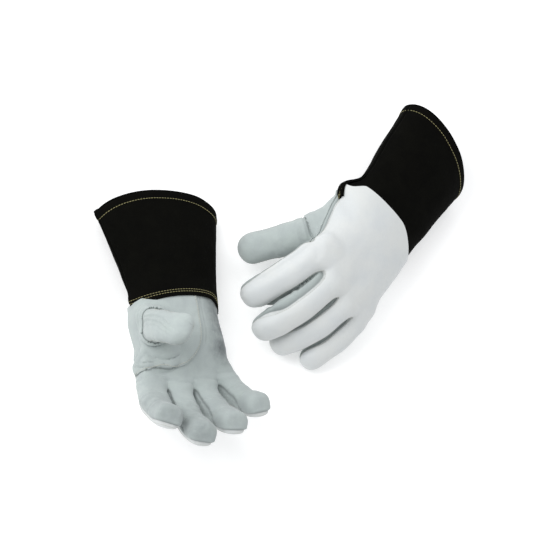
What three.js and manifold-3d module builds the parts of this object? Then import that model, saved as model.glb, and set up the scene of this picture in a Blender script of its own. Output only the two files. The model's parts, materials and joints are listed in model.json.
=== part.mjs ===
// A pair of gauntlet welding gloves lying on a table: the left one palm down, the right one palm up.
//
// Every leather panel is its own thick curved plate, and neighbouring panels meet at a seam gap.
// Units are millimetres and +Z is up. A glove is drawn in its own axes: +X points to the thumb side,
// +Y to the fingertips and +Z to the back of the hand, with its origin in the middle of the wrist.
// The right glove is drawn with the same pattern, mirrored.
import * as THREE from "three";
import Module from "manifold-3d";
import { mergeVertices } from "three/addons/utils/BufferGeometryUtils.js";

const wasm = await Module();
wasm.setup();

// ---------------------------------------------------------------- driving dimensions

const WALL = 1.8; // leather and its lining, as one thickness
const PATCH_WALL = 1.4; // reinforcement leather
const HEM_WALL = 1.5; // turned-in leather at the cuff's mouth
const SEAM = 0.5; // gap between two panels along a seam
const LAYER = 0.6; // gap between the cuff and its turned-in hem
const PATCH_LIFT = 0.9; // gap under the palm patch, which lies loosely on the palm
const HEM_DEPTH = 18; // how far the hem is turned in
const ROOT_CLEARANCE = 6; // free room round the thumb's root, so that it can swing
const KNUCKLE_SETBACK = 3.6; // the hand's back stops this far short of a finger's fold line
const CREASE_SETBACK = 9; // and its palm this far, for the finger to curl into
const WRIST_GAP = 1.3; // half of the gap between hand and cuff at the ends of the wrist's fold line
const WRIST_SETBACK = 3.6; // and how much deeper that gap is at the back and the palm

const CUFF_SQUARENESS = 2.1; // of a section: 2 is an ellipse, more is boxier
const DIGIT_SQUARENESS = 2.3;
const BACK_FOLD_ROOM = 2.4; // how far a digit's back panel starts past its fold line
const PALM_FOLD_ROOM = 4.8; // and its palm panel
const GUSSET_END = 0.93; // where the panels of a finger have closed round the gusset's end

// Pattern of the digits: length from the fold line to the tip, half width at root and tip, half height.
const DIGITS = {
  index: { length: 93, root: 14.8, tip: 14.0, height: 12.6 },
  middle: { length: 101, root: 14.5, tip: 13.8, height: 12.6 },
  ring: { length: 94, root: 14.2, tip: 13.4, height: 12.2 },
  little: { length: 77, root: 13.4, tip: 12.4, height: 11.6 },
  thumb: { root: 16.8, tip: 15, height: 13.9 },
};

// Seams round a digit, in degrees: 0 is its thumb side, 90 its back, 180 its little-finger side.
const SIDE_SEAM = 26; // edge of a side gusset, above and below the middle of the side
const THUMB_SIDE_SEAM = 8;
const OUTER_SEAM = 196; // the back panel wraps under the little-finger side
const INNER_SEAM = 6; // seam along the hand's thumb edge

// The palm patch: its edges in degrees round the hand, and its ends as fractions of the hand's length.
const PATCH = { from: 254, taper: 18, to: 322, start: 0.08, end: 0.85 };

// Sections of the hand along +Y: [y, half width, half height, squareness, shift to the thumb side].
const HAND_SECTIONS = [
  [0, 51, 26, 2.1, 0],
  [30, 50.7, 25, 2.3, 1.3],
  [60, 53.5, 20, 2.8, 2.5],
  [84, 58.7, 13.6, 3.6, 1],
];

// How each glove lies. Angles are in degrees. `roll` lifts the thumb side and `pitch` the fingers.
// A digit starts at `root`, points `splay` degrees to the thumb side and `drop` degrees palmwards,
// and reaches `splayEnd` and `dropEnd` at its tip.
const LEFT = {
  name: "left",
  mirrored: false,
  wrist: [98.2, 32.2, 52],
  heading: 228.5,
  roll: 30.4,
  pitch: 5.7,
  cuff: {
    heading: 230.6,
    roll: 32,
    pitch: 5.8,
    length: 120,
    wrist: [51, 26],
    hem: [57.8, 33],
    shift: -7.8,
    bulge: 6,
    skew: 13,
  },
  fingers: {
    index: { root: [47.5, 79, 4], splay: 7.2, splayEnd: -3, drop: 25.7, dropEnd: 64.1 },
    middle: { root: [14.5, 86, 6], splay: -0.7, splayEnd: 4, drop: 7.9, dropEnd: 74.8 },
    ring: { root: [-17, 87, 3], splay: -0.6, splayEnd: 4.5, drop: 8.6, dropEnd: 84 },
    little: { root: [-46.5, 82, -4], splay: -3.5, splayEnd: 4, drop: 7.6, dropEnd: 55 },
  },
  thumb: {
    root: [47, 48, -29.5],
    direction: [0.35, 0.68, -0.62],
    curlToward: [0, 0.3, -1],
    curl: 16,
    length: 77,
  },
};

const RIGHT = {
  name: "right",
  mirrored: true,
  wrist: [-123.6, -42.2, 29],
  heading: -85.4,
  roll: 12,
  pitch: 2.1,
  cuff: {
    heading: -85.4,
    roll: 12,
    pitch: 1.6,
    length: 101,
    wrist: [51, 26],
    hem: [72.5, 26],
    shift: 1,
    bulge: 19,
    skew: 3,
  },
  fingers: {
    index: { root: [43, 82, 6], splay: 18, splayEnd: 17, drop: 19.4, dropEnd: 74 },
    middle: { root: [13, 87, 4], splay: 9.4, splayEnd: 10, drop: 17.1, dropEnd: 61.5 },
    ring: { root: [-16.5, 85, 4], splay: 1.6, splayEnd: 2, drop: 18.4, dropEnd: 71.5 },
    little: { root: [-46, 79, 6], splay: -9.7, splayEnd: -9, drop: 21.3, dropEnd: 77.7 },
  },
  thumb: {
    root: [49, 30, -26.5],
    direction: [0.5, 0.26, -0.83],
    curlToward: [-0.9, 0.32, -0.3],
    curl: 108,
    length: 64,
  },
};

const leather = (color, roughness) => new THREE.MeshStandardMaterial({ color, roughness, metalness: 0 });
const MATERIALS = {
  grain: leather(0xdcdedc, 0.62), // smooth off-white goatskin
  split: leather(0xb5bfbb, 0.88), // grey-green split leather
  black: leather(0x0d0d0c, 0.92), // black split leather
};

// ---------------------------------------------------------------- small helpers

const rad = THREE.MathUtils.degToRad;
const lerp = THREE.MathUtils.lerp;
const vec = (a) => new THREE.Vector3(...a);

// A point of a superellipse with half axes 1, and squareness 2 for a circle.
function superellipse(angle, squareness) {
  const power = (t) => Math.sign(t) * Math.pow(Math.abs(t), 2 / squareness);
  return [power(Math.cos(angle)), power(Math.sin(angle))];
}

// Reads a table of [y, ...values] at y, with smooth steps between its rows.
function alongTable(table, y) {
  let i = 0;
  while (i < table.length - 2 && y > table[i + 1][0]) i++;
  const [a, b] = [table[i], table[i + 1]];
  const t = THREE.MathUtils.clamp((y - a[0]) / (b[0] - a[0]), 0, 1);
  return a.slice(1).map((value, k) => lerp(value, b[k + 1], t));
}

// A surface takes (f, angle), f growing along +Y and the angle from +X to +Z, and gives a point. This is
// its outward normal.
function surfaceNormal(surface, f, angle) {
  const [df, da] = [1e-3, 1e-3];
  const along = surface(f + df, angle).sub(surface(f - df, angle));
  const round = surface(f, angle + da).sub(surface(f, angle - da));
  return along.cross(round).normalize();
}

// A surface moved outwards by a distance.
function raised(surface, distance) {
  return (f, angle) => surface(f, angle).addScaledVector(surfaceNormal(surface, f, angle), distance);
}

// ---------------------------------------------------------------- panels

// A closed plate `wall` thick whose outer face lies on a surface. `from` and `to` are the edges' angles in
// degrees, each a number or a function of f. `steps` lists the values of f along the plate.
function panel(surface, { from, to, steps, columns, wall = WALL }) {
  const edge = (e, f) => rad(typeof e === "function" ? e(f) : e);
  const rows = steps.length;
  const outer = [];
  const inner = [];
  for (const f of steps) {
    for (let j = 0; j <= columns; j++) {
      const angle = lerp(edge(from, f), edge(to, f), j / columns);
      const point = surface(f, angle);
      outer.push(point);
      inner.push(point.clone().addScaledVector(surfaceNormal(surface, f, angle), -wall));
    }
  }
  const width = columns + 1;
  const at = (i, j, side) => side * rows * width + i * width + j;
  const index = [];
  const quad = (a, b, c, d) => index.push(a, c, b, a, d, c);
  for (let i = 0; i < rows - 1; i++) {
    for (let j = 0; j < columns; j++) {
      quad(at(i, j, 0), at(i, j + 1, 0), at(i + 1, j + 1, 0), at(i + 1, j, 0));
      quad(at(i, j, 1), at(i + 1, j, 1), at(i + 1, j + 1, 1), at(i, j + 1, 1));
    }
    quad(at(i, 0, 0), at(i + 1, 0, 0), at(i + 1, 0, 1), at(i, 0, 1));
    quad(at(i, columns, 0), at(i, columns, 1), at(i + 1, columns, 1), at(i + 1, columns, 0));
  }
  for (let j = 0; j < columns; j++) {
    quad(at(0, j, 0), at(0, j, 1), at(0, j + 1, 1), at(0, j + 1, 0));
    quad(at(rows - 1, j, 0), at(rows - 1, j + 1, 0), at(rows - 1, j + 1, 1), at(rows - 1, j, 1));
  }
  return fromPoints([...outer, ...inner], index);
}

function fromPoints(points, index) {
  const geometry = new THREE.BufferGeometry().setFromPoints(points);
  geometry.setIndex(index);
  geometry.computeVertexNormals();
  return geometry;
}

// A solid plug that fills the inside of a surface, with flat ends.
function plug(surface, { steps, columns }) {
  const points = [];
  for (const f of steps) {
    for (let j = 0; j < columns; j++) points.push(surface(f, (2 * Math.PI * j) / columns));
  }
  const rows = steps.length;
  const at = (i, j) => i * columns + (j % columns);
  const index = [];
  for (let i = 0; i < rows - 1; i++) {
    for (let j = 0; j < columns; j++) {
      index.push(at(i, j), at(i + 1, j + 1), at(i, j + 1), at(i, j), at(i + 1, j), at(i + 1, j + 1));
    }
  }
  for (const [row, flip] of [[0, false], [rows - 1, true]]) {
    const centre = points.length;
    const middle = new THREE.Vector3();
    for (let j = 0; j < columns; j++) middle.addScaledVector(points[at(row, j)], 1 / columns);
    points.push(middle);
    for (let j = 0; j < columns; j++) {
      const [a, b] = flip ? [at(row, j + 1), at(row, j)] : [at(row, j), at(row, j + 1)];
      index.push(centre, a, b);
    }
  }
  return fromPoints(points, index);
}

function toManifold(geometry) {
  const bare = new THREE.BufferGeometry().setAttribute("position", geometry.getAttribute("position"));
  bare.setIndex(geometry.index);
  const merged = mergeVertices(bare, 1e-4);
  const mesh = new wasm.Mesh({
    numProp: 3,
    vertProperties: new Float32Array(merged.attributes.position.array),
    triVerts: new Uint32Array(merged.index.array),
  });
  return new wasm.Manifold(mesh);
}

function fromManifold(solid) {
  const mesh = solid.getMesh();
  const geometry = new THREE.BufferGeometry();
  geometry.setAttribute("position", new THREE.BufferAttribute(mesh.vertProperties, 3));
  geometry.setIndex(new THREE.BufferAttribute(mesh.triVerts, 1));
  geometry.computeVertexNormals();
  return geometry;
}

const evenSteps = (count, start = 0, end = 1) =>
  Array.from({ length: count + 1 }, (_, i) => lerp(start, end, i / count));

// ---------------------------------------------------------------- surfaces

// The cuff, from its mouth at f = 0 to the wrist at f = 1, in the cuff's own axes. Its mouth is cut longer
// by `bulge` over the back and the palm, and by `skew` towards the thumb.
function cuffSurface(cuff) {
  return (f, angle) => {
    const [x, z] = superellipse(angle, CUFF_SQUARENESS);
    const halfWidth = lerp(cuff.hem[0], cuff.wrist[0], f);
    const halfHeight = lerp(cuff.hem[1], cuff.wrist[1], f);
    const fold = WRIST_GAP + WRIST_SETBACK * Math.abs(z);
    const mouth = cuff.length + cuff.bulge * Math.abs(z) + cuff.skew * x;
    return new THREE.Vector3(x * halfWidth + (1 - f) * cuff.shift, -lerp(mouth, fold, f), z * halfHeight);
  };
}

// The hand, from the wrist at f = 0 to the fold line of the fingers at f = 1.
function handSurface(fingers) {
  const roots = Object.values(fingers).map((finger) => finger.root);
  const acrossRoots = (x, k) => {
    const table = [...roots].sort((a, b) => a[0] - b[0]).map((root) => [root[0], root[k]]);
    return alongTable(table, x)[0];
  };
  const last = HAND_SECTIONS.length - 1;
  const nominalLength = HAND_SECTIONS[last][0];
  return (f, angle) => {
    const [halfWidth, halfHeight, squareness, shift] = alongTable(HAND_SECTIONS, f * nominalLength);
    const [ex, ez] = superellipse(angle, squareness);
    const x = ex * halfWidth + shift;
    const arch = acrossRoots(x, 2) * f * f;
    const start = WRIST_GAP + WRIST_SETBACK * Math.abs(ez);
    const end = acrossRoots(x, 1) - lerp(KNUCKLE_SETBACK, CREASE_SETBACK, Math.max(0, -ez));
    return new THREE.Vector3(x, lerp(start, end, f), ez * halfHeight + arch);
  };
}

// A digit from its fold line at f = 0 to its rounded tip at f = 1, in its own axes: it leaves the origin
// along +Y and bends palmwards, to -Z.
function digitSurface(digit, bend, sway) {
  const { length, root, tip, height } = digit;
  const cap = tip; // length of the rounded end
  const slices = 60; // the spine is a chain of this many straight links
  const spine = [new THREE.Vector3()];
  const direction = (t) => {
    const [drop, side] = [rad(bend * t), rad(sway * t)];
    return new THREE.Vector3(
      Math.cos(drop) * Math.sin(side),
      Math.cos(drop) * Math.cos(side),
      -Math.sin(drop),
    );
  };
  for (let i = 0; i < slices; i++) {
    spine.push(spine[i].clone().addScaledVector(direction((i + 0.5) / slices), length / slices));
  }
  const centre = (t) => {
    const i = THREE.MathUtils.clamp(Math.floor(t * slices), 0, slices - 1);
    return spine[i].clone().lerp(spine[i + 1], t * slices - i);
  };
  return (f, angle) => {
    const [ex, ez] = superellipse(angle, DIGIT_SQUARENESS);
    const fold = 1 + (ez > 0 ? BACK_FOLD_ROOM * ez : -PALM_FOLD_ROOM * ez);
    const along = lerp(fold, length, f);
    const t = along / length;
    const past = THREE.MathUtils.clamp((along - (length - cap)) / cap, 0, 0.999);
    const rounding = Math.sqrt(1 - past * past);
    const tangent = direction(t);
    const side = new THREE.Vector3(Math.cos(rad(sway * t)), -Math.sin(rad(sway * t)), 0);
    const back = side.clone().cross(tangent);
    return centre(t)
      .addScaledVector(side, ex * lerp(root, tip, t) * rounding)
      .addScaledVector(back, ez * height * lerp(1, tip / root, t) * rounding);
  };
}

// Steps along a digit: even along its length, then closer together round its tip.
function digitSteps(length, cap, rows, tipRows, end = 0.9985) {
  const shoulder = (length - cap) / length;
  const body = evenSteps(rows, 0, shoulder);
  const tip = [];
  for (let i = 1; i <= tipRows; i++) {
    tip.push(shoulder + (end - shoulder) * Math.sin((i / tipRows) * (Math.PI / 2)));
  }
  return [...body, ...tip];
}

// ---------------------------------------------------------------- sub-parts

function named(name, geometry, material) {
  const mesh = new THREE.Mesh(geometry, material);
  mesh.name = name;
  return mesh;
}

// Degrees that leave half a seam gap on a section of the given radius.
const halfSeam = (radius) => THREE.MathUtils.radToDeg(SEAM / 2 / radius);

function makeCuff(side, cuff) {
  const group = new THREE.Group();
  const surface = cuffSurface(cuff);
  const trim = halfSeam(cuff.wrist[1]);
  const hemEnd = HEM_DEPTH / cuff.length;
  const steps = [0, ...evenSteps(4, hemEnd, 1)];
  const back = panel(surface, { from: trim, to: 180 - trim, steps, columns: 12 });
  const palm = panel(surface, { from: 180 + trim, to: 360 - trim, steps, columns: 12 });
  group.add(named(`${side}_cuff_back`, back, MATERIALS.black));
  group.add(named(`${side}_cuff_palm`, palm, MATERIALS.black));
  const lining = raised(surface, -(WALL + LAYER));
  const hem = panel(lining, { from: 0.4, to: 359.6, steps: [0.002, hemEnd], columns: 24, wall: HEM_WALL });
  const hemMesh = named(`${side}_cuff_hem`, hem, MATERIALS.black);
  hemMesh.userData = { under: WALL + LAYER, wall: HEM_WALL };
  group.add(hemMesh);
  return group;
}

function makeHand(side, surface) {
  const group = new THREE.Group();
  const trim = halfSeam(HAND_SECTIONS[2][2]);
  const steps = evenSteps(7);
  const back = panel(surface, { from: INNER_SEAM + trim, to: OUTER_SEAM - trim, steps, columns: 13 });
  const palm = panel(surface, { from: OUTER_SEAM + trim, to: 360 + INNER_SEAM - trim, steps, columns: 12 });
  group.add(named(`${side}_hand_back`, back, MATERIALS.grain));
  group.add(named(`${side}_hand_palm`, palm, MATERIALS.split));
  const overPalm = raised(surface, PATCH_WALL + PATCH_LIFT);
  const patch = panel(overPalm, {
    from: (f) => PATCH.from + PATCH.taper * Math.pow(f, 4),
    to: PATCH.to,
    steps: evenSteps(5, PATCH.start, PATCH.end),
    columns: 7,
    wall: PATCH_WALL,
  });
  group.add(named(`${side}_palm_patch`, patch, MATERIALS.split));
  return group;
}

// Places a digit's group at its root, with +Y along the digit and +X along its fold axis.
function digitGroup(root, along, back) {
  const y = along.clone().normalize();
  const x = y.clone().cross(back).normalize();
  const z = x.clone().cross(y);
  const group = new THREE.Group();
  group.applyMatrix4(new THREE.Matrix4().makeBasis(x, y, z).setPosition(...root));
  return group;
}

const GUSSETS = {
  index: { little: "gusset" },
  middle: { thumb: "gusset_outer", little: "gusset_inner" },
  ring: { thumb: "gusset_outer", little: "gusset_inner" },
  little: { thumb: "gusset" },
};

function makeFinger(side, name, lie) {
  const digit = DIGITS[name];
  const [drop, splay] = [rad(lie.drop), rad(lie.splay)];
  const ahead = new THREE.Vector3(Math.sin(splay), Math.cos(splay), 0);
  const up = new THREE.Vector3(0, 0, 1);
  const along = ahead.clone().multiplyScalar(Math.cos(drop)).addScaledVector(up, -Math.sin(drop));
  const group = digitGroup(lie.root, along, up);
  group.name = `${side}_${name}`;

  const surface = digitSurface(digit, lie.dropEnd - lie.drop, lie.splayEnd - lie.splay);
  const steps = digitSteps(digit.length, digit.tip, 6, 3);
  const trim = halfSeam(digit.height);
  const gussets = GUSSETS[name];
  const thumbSide = gussets.thumb ? [SIDE_SEAM, -SIDE_SEAM] : [THUMB_SIDE_SEAM, THUMB_SIDE_SEAM];
  const littleSide = gussets.little ? [180 - SIDE_SEAM, 180 + SIDE_SEAM] : [OUTER_SEAM, OUTER_SEAM];
  // Past the gussets' ends the back and palm panels widen until they meet round the tip.
  const gussetEnd = (digit.length - digit.tip) / digit.length;
  const closing = (f) => THREE.MathUtils.clamp((f - gussetEnd) / (GUSSET_END - gussetEnd), 0, 1);
  const edge = (open, closed, sign) => (f) => lerp(open, closed, closing(f)) + sign * trim;
  const thumbTip = gussets.thumb ? 0 : THUMB_SIDE_SEAM;
  const littleTip = gussets.little ? 180 : OUTER_SEAM;
  const back = panel(surface, {
    from: edge(thumbSide[0], thumbTip, 1),
    to: edge(littleSide[0], littleTip, -1),
    steps,
    columns: 5,
  });
  const palm = panel(surface, {
    from: edge(littleSide[1], littleTip, 1),
    to: edge(360 + thumbSide[1], 360 + thumbTip, -1),
    steps,
    columns: 5,
  });
  group.add(named(`${side}_${name}_back`, back, MATERIALS.grain));
  group.add(named(`${side}_${name}_palm`, palm, MATERIALS.split));

  const taper = [0.5, 0.85].map((t) => lerp(gussetEnd, GUSSET_END, t));
  const gussetSteps = [...evenSteps(5, 0, gussetEnd), ...taper];
  const half = (f) => SIDE_SEAM * (1 - closing(f)) - trim;
  if (gussets.thumb) {
    const arm = panel(surface, { from: (f) => -half(f), to: half, steps: gussetSteps, columns: 2 });
    group.add(named(`${side}_${name}_${gussets.thumb}`, arm, MATERIALS.split));
  }
  if (gussets.little) {
    const arm = panel(surface, {
      from: (f) => 180 - half(f),
      to: (f) => 180 + half(f),
      steps: gussetSteps,
      columns: 2,
    });
    group.add(named(`${side}_${name}_${gussets.little}`, arm, MATERIALS.split));
  }
  return group;
}

function makeThumb(side, lie, hand) {
  const digit = { ...DIGITS.thumb, length: lie.length };
  const along = vec(lie.direction).normalize();
  const back = vec(lie.curlToward).negate();
  const group = digitGroup(lie.root, along, back);
  group.name = `${side}_thumb`;
  group.updateMatrix();

  // The thumb's root stays clear of the hand by the room that its swing needs.
  const room = plug(raised(hand, ROOT_CLEARANCE), { steps: evenSteps(8, -0.05, 1), columns: 36 });
  const hollow = toManifold(room.applyMatrix4(group.matrix.clone().invert()));

  const surface = digitSurface(digit, lie.curl, 0);
  const steps = [-0.5, -0.25, ...digitSteps(digit.length, digit.tip, 6, 3)];
  const trim = halfSeam(digit.height);
  const halves = { back: [trim, 180 - trim, MATERIALS.split], front: [180 + trim, 360 - trim, MATERIALS.split] };
  for (const [half, [from, to, material]] of Object.entries(halves)) {
    const whole = toManifold(panel(surface, { from, to, steps, columns: 7 }));
    const pieces = whole.subtract(hollow).decompose();
    pieces.sort((a, b) => b.volume() - a.volume());
    group.add(named(`${side}_thumb_${half}`, fromManifold(pieces[0]), material));
  }
  return group;
}

// ---------------------------------------------------------------- gloves

// The matrix that lays a glove's axes on the table. Palm down, its back looks up; palm up, it is mirrored
// and its back looks down.
function lay({ heading, roll, pitch }, mirrored, place = [0, 0, 0]) {
  const ahead = new THREE.Vector3(Math.cos(rad(heading)), Math.sin(rad(heading)), 0);
  const up = new THREE.Vector3(0, 0, 1);
  const thumbward = new THREE.Vector3(ahead.y, -ahead.x, 0);
  const x = thumbward.multiplyScalar(Math.cos(rad(roll))).addScaledVector(up, Math.sin(rad(roll)));
  const lift = up.clone().addScaledVector(x, -up.dot(x));
  lift.addScaledVector(ahead, -lift.dot(ahead)).normalize();
  const y = ahead.multiplyScalar(Math.cos(rad(pitch))).addScaledVector(lift, Math.sin(rad(pitch)));
  const z = x.clone().cross(y).multiplyScalar(mirrored ? -1 : 1);
  return new THREE.Matrix4().makeBasis(x, y, z).setPosition(...place);
}

function makeGlove(glove) {
  const { name, mirrored } = glove;
  const group = new THREE.Group();
  const layHand = lay(glove, mirrored, glove.wrist);
  group.matrixAutoUpdate = false;
  group.matrix.copy(layHand);

  const cuff = makeCuff(name, glove.cuff);
  const layCuff = lay(glove.cuff, mirrored, glove.wrist);
  cuff.name = `${name}_cuff`;
  cuff.matrixAutoUpdate = false;
  cuff.matrix.copy(layHand.clone().invert().multiply(layCuff));
  group.add(cuff);

  const surface = handSurface(glove.fingers);
  group.add(makeHand(name, surface));
  for (const [finger, lie] of Object.entries(glove.fingers)) group.add(makeFinger(name, finger, lie));
  group.add(makeThumb(name, glove.thumb, surface));
  return group;
}

// Leather that would reach below the table lies flat on it: a panel's outer face at the table, or on the
// layer below it, and its inner face a wall higher. A panel's outer points come first.
function restOnTable(root) {
  root.updateMatrixWorld(true);
  root.traverse((mesh) => {
    if (!mesh.isMesh) return;
    const { under = 0, wall = WALL } = mesh.userData;
    const position = mesh.geometry.getAttribute("position");
    const back = mesh.matrixWorld.clone().invert();
    const point = new THREE.Vector3();
    for (let i = 0; i < position.count; i++) {
      point.fromBufferAttribute(position, i).applyMatrix4(mesh.matrixWorld);
      const floor = i < position.count / 2 ? under : under + wall;
      if (point.z < floor) {
        point.setZ(floor).applyMatrix4(back);
        position.setXYZ(i, point.x, point.y, point.z);
      }
    }
  });
}

const pair = new THREE.Group();
pair.add(makeGlove(LEFT), makeGlove(RIGHT));
restOnTable(pair);

// The part's origin is on the table, under the middle of the pair.
const box = new THREE.Box3().setFromObject(pair, true);
pair.position.set(-(box.min.x + box.max.x) / 2, -(box.min.y + box.max.y) / 2, -box.min.z);

export default pair;
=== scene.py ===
"""A pair of leather gauntlet welding gloves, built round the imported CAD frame.

Each hand is one smooth distance field (palm, four fingers and thumb run together like worn leather). It is
turned into a fine mesh, creased and grooved, and cut along its seams into the leather panels. The cuffs
are swept sheets. Lengths are in millimetres in a glove's own axes until a piece is made.
"""

import json
import math

import bpy
import numpy as np
import openvdb
from mathutils import Matrix, Vector


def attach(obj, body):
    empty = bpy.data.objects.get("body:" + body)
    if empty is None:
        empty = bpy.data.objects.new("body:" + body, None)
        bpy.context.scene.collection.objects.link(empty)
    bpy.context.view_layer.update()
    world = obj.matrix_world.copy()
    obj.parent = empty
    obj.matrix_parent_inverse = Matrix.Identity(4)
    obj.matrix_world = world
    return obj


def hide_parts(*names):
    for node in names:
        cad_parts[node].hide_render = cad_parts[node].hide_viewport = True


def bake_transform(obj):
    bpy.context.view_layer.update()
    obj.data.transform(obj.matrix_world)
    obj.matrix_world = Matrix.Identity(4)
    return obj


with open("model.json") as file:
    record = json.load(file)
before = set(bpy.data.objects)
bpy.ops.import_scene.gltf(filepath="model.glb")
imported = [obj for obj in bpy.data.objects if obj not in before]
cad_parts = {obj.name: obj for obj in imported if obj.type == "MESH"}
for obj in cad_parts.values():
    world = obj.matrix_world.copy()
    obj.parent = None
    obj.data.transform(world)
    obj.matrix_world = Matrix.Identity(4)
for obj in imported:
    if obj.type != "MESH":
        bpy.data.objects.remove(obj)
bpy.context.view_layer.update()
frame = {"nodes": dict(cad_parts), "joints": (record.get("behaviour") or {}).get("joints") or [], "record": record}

# ---------------------------------------------------------------- driving dimensions, millimetres

VOXEL = 1.25  # grid of the distance field
LEATHER = 1.3  # thickness of the hand's panels
CUFF_LEATHER = 1.5
PATCH_LEATHER = 1.1
PATCH_LIFT = 0.5  # the patch lies on the palm, not in it
FINGER_GAP = 2.6  # slit left between neighbouring fingers
WEB = 6.5  # how far the hand runs on between the fingers
FINGER_CUT = 5.0  # a finger's panels start this far past its fold line
THUMB_CUT = 4.0
FOLD_LENGTH = 28.0  # stretch over which a finger's leather is meant to bend; the script works out its ends but bends nothing
THUMB_FOLD = 20.0
WRIST_FOLD = (12.0, -2.0)  # stretch of the hand that is meant to bend with the wrist; the script works out its ends but bends nothing

# How each glove lies, in degrees, and its cuff: half sizes at wrist and mouth, length, sideways shift.
LIE = {
    "left": {"hand": (228.5, 30.4, 5.7), "cuff": (230.6, 32.0, 5.8)},
    "right": {"hand": (-85.4, 12.0, 2.1), "cuff": (-85.4, 12.0, 1.6)},
}
CUFF = {
    "left": {"length": 120, "wrist": (51, 26), "mouth": (57.8, 33), "shift": -7.8, "bulge": 6, "skew": 15},
    "right": {"length": 101, "wrist": (51, 26), "mouth": (72.5, 26), "shift": 1, "bulge": 19, "skew": 5},
}
# Places where a glove's side is pushed out, or drawn in where the amount is below 0: amount, distance from
# the wrist, reach towards the cuff and towards the fingers, and the side, 1 for the thumb's.
PUSHES = {
    "left": ((15, -9, 14, 17, 1), (3, 26, 18, 18, -1), (-7.5, -72, 55, 34, -1)),
    "right": ((-8.5, 30, 15, 24, 1), (4, -3, 10, 5, 1), (-2.5, 14, 16, 22, -1), (-4.5, -42, 30, 22, 1)),
}
PALM_REACH = {"left": (16, 0), "right": (1, 8)}  # how far the cuff's palm runs onto the hand at its sides
# Hand sections: distance from the wrist, half width, half height, squareness, shift to the thumb side.
HAND_SECTIONS = np.array([
    (-40, 51, 26, 2.1, 0),
    (0, 51, 26, 2.1, 0),
    (30, 50.7, 25, 2.3, 1.3),
    (60, 53.5, 20, 2.8, 2.5),
    (84, 58.2, 13.4, 3.2, 1),
])
FINGERS = ("index", "middle", "ring", "little")
LAP_RISE = 22.0  # stretch over which a cuff half rises out of its lap with the hand
CUFF_ROWS = (4.4, 6.8)  # the two rows of stitches at the cuff's wrist edge
HEM_ROW = 7.8  # and the row at its mouth
BACK_REACH = {"left": 17.0, "right": 15.0}  # how far the hand's back runs over the cuff, in its middle
DIGIT_SQUARENESS = 2.3
DIGITS = {
    "index": {"length": 93, "root": 15.0, "tip": 14.2, "height": 12.8},
    "middle": {"length": 101, "root": 14.7, "tip": 14.0, "height": 12.8},
    "ring": {"length": 94, "root": 14.4, "tip": 13.6, "height": 12.4},
    "little": {"length": 77, "root": 13.6, "tip": 12.6, "height": 11.8},
    "left_thumb": {"length": 77, "root": 17.2, "tip": 15.4, "height": 14.3},
    "right_thumb": {"length": 64, "root": 17.0, "tip": 14.6, "height": 14.0},
}
GUSSET_SIN = math.sin(math.radians(26))  # height of a gusset's seams, as a share of the finger's height
GUSSETS = {
    "index": {-1: "gusset"},
    "middle": {1: "gusset_outer", -1: "gusset_inner"},
    "ring": {1: "gusset_outer", -1: "gusset_inner"},
    "little": {1: "gusset"},
}
SWELL = {"left": 6.0, "right": 1.5}  # how far the gussets bulge between index and middle finger
TIP_WIDER = {"left": 0.0, "right": 2.0}
TIP_SQUARENESS = {"left": 2.3, "right": 3.6}
TIP_CAP = {"left": 1.0, "right": 0.8}  # length of a fingertip's rounding, as a share of its half width
TIP_SEAM = {"left": 0.0, "right": 0.62}  # height of the seam over a fingertip, as a share of its height
THUMB_SIDE_SEAM = {"left": -0.2, "right": 0.55}  # and of the seam along the hand's thumb edge
# Rolls of leather round the thumb's root: distance below its seam, height.
THUMB_FOLDS = {"left": ((-9, 0.5),), "right": ((-7, 1.7), (-15, 1.3))}
# Creases along the right thumb: distance from its middle towards the cuff, depth.
THUMB_CREASES = ((-1, 0.7), (4, 1.1), (9, 1.0))
OUTER_SEAM = -0.28  # and of the seam along its little-finger edge
MM = 0.001


# ---------------------------------------------------------------- numbers


def smooth(edge0, edge1, x):
    t = np.clip((x - edge0) / (edge1 - edge0), 0, 1)
    return t * t * (3 - 2 * t)


def smooth_min(a, b, k):
    h = np.clip(0.5 + 0.5 * (b - a) / k, 0, 1)
    return b * (1 - h) + a * h - k * h * (1 - h)


def smooth_max(a, b, k):
    return -smooth_min(-a, -b, k)


def unit(v):
    return v / np.linalg.norm(v, axis=-1, keepdims=True)


def value_noise(points, size, seed):
    """Smooth noise from -1 to 1, with lumps of the given size."""
    q = points / size + np.array([17.3, 5.1, 9.7]) * (seed + 1)
    cell = np.floor(q)
    f = q - cell
    f = f * f * (3 - 2 * f)
    total = np.zeros(len(points))
    for dx in (0, 1):
        for dy in (0, 1):
            for dz in (0, 1):
                corner = cell + (dx, dy, dz)
                h = np.sin(corner @ np.array([127.1, 311.7, 74.7])) * 43758.5453
                weight = (
                    (f[:, 0] if dx else 1 - f[:, 0])
                    * (f[:, 1] if dy else 1 - f[:, 1])
                    * (f[:, 2] if dz else 1 - f[:, 2])
                )
                total += weight * (h - np.floor(h))
    return total * 2 - 1


# ---------------------------------------------------------------- skeleton, from the frame


def axes_of(heading, roll, pitch, mirrored):
    """Thumbward, fingerward and backward axes of a glove part that lies at these angles."""
    heading, roll, pitch = (math.radians(a) for a in (heading, roll, pitch))
    ahead = np.array([math.cos(heading), math.sin(heading), 0.0])
    up = np.array([0.0, 0.0, 1.0])
    x = np.array([ahead[1], -ahead[0], 0.0]) * math.cos(roll) + up * math.sin(roll)
    lift = up - x * (up @ x)
    lift = unit(lift - ahead * (lift @ ahead))
    y = ahead * math.cos(pitch) + lift * math.sin(pitch)
    z = np.cross(x, y) * (-1 if mirrored else 1)
    return np.array([x, y, z])


class Axes:
    """A place with three axes. Points go from metres in the row frame to millimetres here and back."""

    def __init__(self, origin, axes):
        self.origin = np.array(origin)
        self.axes = axes

    def inside(self, points):
        return (points - self.origin) @ self.axes.T / MM

    def outside(self, local):
        return self.origin + local * MM @ self.axes

    def joint_point(self, local):
        return tuple(float(c) for c in self.outside(np.array(local, float)))


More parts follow.
